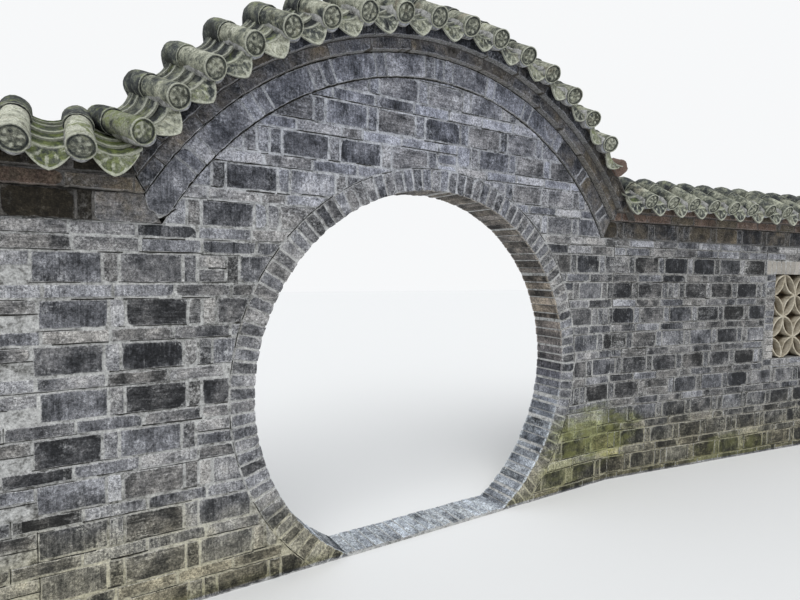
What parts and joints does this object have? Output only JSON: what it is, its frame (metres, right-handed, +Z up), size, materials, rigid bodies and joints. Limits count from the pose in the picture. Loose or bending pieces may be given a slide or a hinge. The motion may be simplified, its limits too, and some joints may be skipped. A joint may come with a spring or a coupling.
{
  "type": "moon gate in a garden wall",
  "caption": "Brick garden wall with a round walk-through opening under a concentric tiled arch, and low tiled wings with petal lattice windows.",
  "frame": {"origin": "on the ground under the middle of the round opening, half way through the wall", "axes": "+X along the gate bay towards the raised right wing, -Y the pictured front face, +Z up"},
  "size_m": [10.4575, 1.2141, 3.1512],
  "materials": {
    "wall_brick": "matte",
    "ring_brick": "matte",
    "cornice_brick": "matte",
    "roof_tile": "matte",
    "lattice_tile": "matte",
    "lintel_brick": "matte"
  },
  "bodies": {
    "root": {"left_arch_frieze": "cornice_brick", "left_arch_lower_cornice": "cornice_brick", "left_arch_roof": "roof_tile", "left_arch_upper_cornice": "cornice_brick", "left_crown": "wall_brick", "left_pier": "wall_brick", "left_ring_foot": "ring_brick", "left_ring_side": "ring_brick", "left_ring_top": "ring_brick", "left_shoulder": "wall_brick", "left_wall_above_window": "wall_brick", "left_wall_below_window": "wall_brick", "left_wall_far": "wall_brick", "left_wall_near": "wall_brick", "left_window_lattice": "lattice_tile", "left_window_lintel": "lintel_brick", "left_window_sill": "wall_brick", "left_wing_frieze": "cornice_brick", "left_wing_lower_cornice": "cornice_brick", "left_wing_roof": "roof_tile", "left_wing_upper_cornice": "cornice_brick", "right_arch_frieze": "cornice_brick", "right_arch_lower_cornice": "cornice_brick", "right_arch_roof": "roof_tile", "right_arch_upper_cornice": "cornice_brick", "right_crown": "wall_brick", "right_pier": "wall_brick", "right_ring_foot": "ring_brick", "right_ring_side": "ring_brick", "right_ring_top": "ring_brick", "right_shoulder": "wall_brick", "right_wall_above_window": "wall_brick", "right_wall_below_window": "wall_brick", "right_wall_far": "wall_brick", "right_wall_near": "wall_brick", "right_window_lattice": "lattice_tile", "right_window_lintel": "lintel_brick", "right_window_sill": "wall_brick", "right_wing_frieze": "cornice_brick", "right_wing_lower_cornice": "cornice_brick", "right_wing_roof": "roof_tile", "right_wing_upper_cornice": "cornice_brick", "threshold": "ring_brick"}
  },
  "joints": []
}
